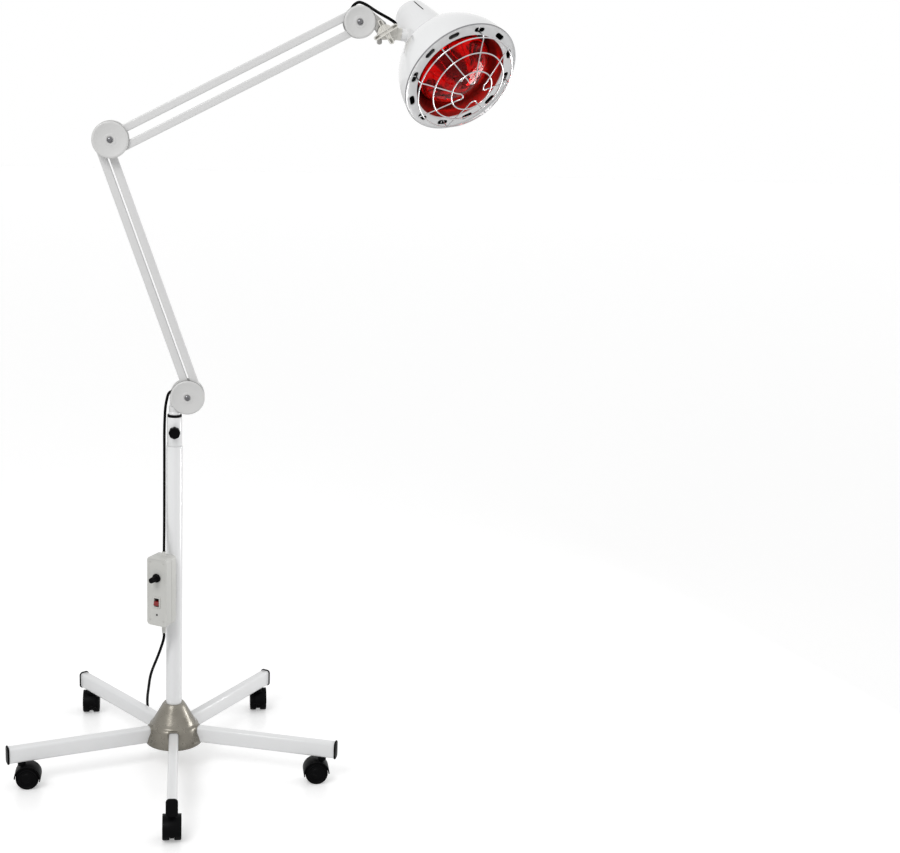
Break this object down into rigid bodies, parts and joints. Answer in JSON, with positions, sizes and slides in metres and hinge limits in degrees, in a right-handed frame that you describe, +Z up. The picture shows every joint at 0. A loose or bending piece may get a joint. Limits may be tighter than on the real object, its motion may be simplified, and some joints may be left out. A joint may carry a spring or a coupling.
{
  "type": "infrared heat therapy lamp",
  "caption": "Floor-standing infrared heat therapy lamp: caged reflector head with a ruby bulb on a jointed swing arm, dimmer box on the pole, and a rolling star base.",
  "frame": {"origin": "on the floor, under the middle of the bounding box measured without the mains cord, its coil and its plug", "axes": "+Z up, +X to the right of the pictured view, along which the arm reaches out to the head, +Y away from the viewer"},
  "size_m": [0.8396, 0.58, 1.3517],
  "materials": {
    "hub_finish": "satin",
    "white_enamel": "gloss",
    "black_plastic": "satin",
    "casting_grey": "satin painted",
    "cover_plastic": "satin",
    "chrome": "polished",
    "arm_grey": "satin",
    "steel": "satin",
    "white_plastic": "satin",
    "shade_enamel": "gloss white enamel",
    "ceramic": "matte",
    "ruby_glass": "clear ruby",
    "box_grey": "satin",
    "rocker_red": "gloss",
    "cord_black": "matte"
  },
  "bodies": {
    "stand": {"base_hub": "hub_finish", "leg_1": "white_enamel", "leg_cap_1": "black_plastic", "leg_2": "white_enamel", "leg_cap_2": "black_plastic", "leg_3": "white_enamel", "leg_cap_3": "black_plastic", "leg_4": "white_enamel", "leg_cap_4": "black_plastic", "leg_5": "white_enamel", "leg_cap_5": "black_plastic", "pole_tube": "white_enamel", "pole_socket": "white_enamel", "pole_collar": "black_plastic", "control_box_front": "box_grey", "control_box_back": "box_grey", "shoulder_lead": "cord_black", "mains_cord": "cord_black", "mains_coil": "cord_black", "mains_plug": "black_plastic"},
    "clamp_screw": {"clamp_knob": "black_plastic"},
    "shoulder": {"shoulder_casting": "casting_grey", "shoulder_cover_front": "cover_plastic", "shoulder_cover_back": "cover_plastic", "shoulder_bolt": "chrome"},
    "lower_bar_left": {"lower_arm_bar_left": "arm_grey", "lower_arm_spring": "steel"},
    "lower_bar_right": {"lower_arm_bar_right": "arm_grey"},
    "elbow": {"elbow_casting": "casting_grey", "elbow_cover_front": "cover_plastic", "elbow_cover_back": "cover_plastic", "elbow_bolt": "chrome"},
    "upper_bar_top": {"upper_arm_bar_top": "arm_grey", "upper_arm_spring": "steel"},
    "upper_bar_bottom": {"upper_arm_bar_bottom": "arm_grey"},
    "wrist": {"wrist_casting": "white_plastic", "wrist_cover_front": "cover_plastic", "wrist_cover_back": "cover_plastic", "wrist_bolt": "chrome", "head_lead": "cord_black"},
    "tilt_screw": {"cross_knob": "white_plastic"},
    "knuckle": {"tilt_knuckle": "white_plastic"},
    "head": {"swivel_nut": "white_plastic", "shade_casing": "shade_enamel", "reflector_ring": "shade_enamel", "lamp_holder": "ceramic", "infrared_bulb": "ruby_glass", "wire_guard": "chrome"},
    "dimmer": {"dimmer_knob": "black_plastic"},
    "rocker": {"rocker_switch": "rocker_red"},
    "caster_1": {"caster_housing_1": "black_plastic"},
    "wheels_1": {"caster_wheels_1": "black_plastic"},
    "caster_2": {"caster_housing_2": "black_plastic"},
    "wheels_2": {"caster_wheels_2": "black_plastic"},
    "caster_3": {"caster_housing_3": "black_plastic"},
    "wheels_3": {"caster_wheels_3": "black_plastic"},
    "caster_4": {"caster_housing_4": "black_plastic"},
    "wheels_4": {"caster_wheels_4": "black_plastic"},
    "caster_5": {"caster_housing_5": "black_plastic"},
    "wheels_5": {"caster_wheels_5": "black_plastic"}
  },
  "joints": [
    {"name": "caster_swivel_1", "type": "hinge", "parent": "stand", "child": "caster_1", "pos_m": [-0.12946, -0.24964, 0.02], "axis": [0, 0, 1], "continuous": true},
    {"name": "caster_roll_1", "type": "hinge", "parent": "caster_1", "child": "wheels_1", "pos_m": [-0.12946, -0.25964, 0.02], "axis": [-1, 0, 0], "continuous": true},
    {"name": "caster_swivel_2", "type": "hinge", "parent": "stand", "child": "caster_2", "pos_m": [0.13303, -0.05893, 0.02], "axis": [0, 0, 1], "continuous": true},
    {"name": "caster_roll_2", "type": "hinge", "parent": "caster_2", "child": "wheels_2", "pos_m": [0.12303, -0.05893, 0.02], "axis": [0, 1, 0], "continuous": true},
    {"name": "caster_swivel_3", "type": "hinge", "parent": "stand", "child": "caster_3", "pos_m": [0.03277, 0.24964, 0.02], "axis": [0, 0, 1], "continuous": true},
    {"name": "caster_roll_3", "type": "hinge", "parent": "caster_3", "child": "wheels_3", "pos_m": [0.03277, 0.25964, 0.02], "axis": [1, 0, 0], "continuous": true},
    {"name": "caster_swivel_4", "type": "hinge", "parent": "stand", "child": "caster_4", "pos_m": [-0.29169, 0.24964, 0.02], "axis": [0, 0, 1], "continuous": true},
    {"name": "caster_roll_4", "type": "hinge", "parent": "caster_4", "child": "wheels_4", "pos_m": [-0.29169, 0.25964, 0.02], "axis": [1, 0, 0], "continuous": true},
    {"name": "caster_swivel_5", "type": "hinge", "parent": "stand", "child": "caster_5", "pos_m": [-0.39195, -0.05893, 0.02], "axis": [0, 0, 1], "continuous": true},
    {"name": "caster_roll_5", "type": "hinge", "parent": "caster_5", "child": "wheels_5", "pos_m": [-0.38195, -0.05893, 0.02], "axis": [0, -1, 0], "continuous": true},
    {"name": "clamp_screw_turn", "type": "hinge", "parent": "stand", "child": "clamp_screw", "pos_m": [-0.12946, 0.02636, 0.621], "axis": [0, 1, 0], "continuous": true},
    {"name": "arm_swivel", "type": "hinge", "parent": "stand", "child": "shoulder", "pos_m": [-0.12946, 0.02636, 0.65], "axis": [0, 0, 1], "range_deg": [-170, 170], "deforming": ["shoulder_lead"]},
    {"name": "lower_arm_lift", "type": "hinge", "parent": "shoulder", "child": "lower_bar_left", "pos_m": [-0.11126, 0.02636, 0.7016], "axis": [0, 1, 0], "range_deg": [-3, 55]},
    {"name": "lower_arm_second_bar", "type": "hinge", "parent": "shoulder", "child": "lower_bar_right", "pos_m": [-0.08766, 0.02636, 0.6842], "axis": [0, 1, 0], "range_deg": [-3, 55]},
    {"name": "elbow_level", "type": "hinge", "parent": "lower_bar_left", "child": "elbow", "pos_m": [-0.25655, 0.02636, 1.10737], "axis": [0, 1, 0], "range_deg": [-55, 3]},
    {"name": "upper_arm_lift", "type": "hinge", "parent": "elbow", "child": "upper_bar_top", "pos_m": [-0.22275, 0.01076, 1.12727], "axis": [0, 1, 0], "range_deg": [-20, 50]},
    {"name": "upper_arm_second_bar", "type": "hinge", "parent": "elbow", "child": "upper_bar_bottom", "pos_m": [-0.22275, 0.01076, 1.09757], "axis": [0, 1, 0], "range_deg": [-20, 50]},
    {"name": "wrist_level", "type": "hinge", "parent": "upper_bar_top", "child": "wrist", "pos_m": [0.1592, 0.01076, 1.32695], "axis": [0, 1, 0], "range_deg": [-50, 20]},
    {"name": "tilt_screw_turn", "type": "hinge", "parent": "wrist", "child": "tilt_screw", "pos_m": [0.2117, 0.01076, 1.29805], "axis": [0, 1, 0], "continuous": true},
    {"name": "head_tilt", "type": "hinge", "parent": "wrist", "child": "knuckle", "pos_m": [0.2117, 0.01076, 1.29805], "axis": [0, 1, 0], "range_deg": [-35, 35], "deforming": ["head_lead"]},
    {"name": "head_swivel", "type": "hinge", "parent": "knuckle", "child": "head", "pos_m": [0.23358, 0.01076, 1.29575], "axis": [0.9945, 0, -0.1045], "range_deg": [-170, 170]},
    {"name": "dimmer_turn", "type": "hinge", "parent": "stand", "child": "dimmer", "pos_m": [-0.15066, -0.00757, 0.369], "axis": [-0.5299, -0.848, 0], "range_deg": [0, 270]},
    {"name": "rocker_tilt", "type": "hinge", "parent": "stand", "child": "rocker", "pos_m": [-0.15712, -0.01791, 0.324], "axis": [0.848, -0.5299, 0], "range_deg": [0, 12]}
  ],
  "couplings": [
    {"joint": "lower_arm_second_bar", "follows": "lower_arm_lift", "ratio": 1},
    {"joint": "elbow_level", "follows": "lower_arm_lift", "ratio": -1},
    {"joint": "upper_arm_second_bar", "follows": "upper_arm_lift", "ratio": 1},
    {"joint": "wrist_level", "follows": "upper_arm_lift", "ratio": -1}
  ]
}
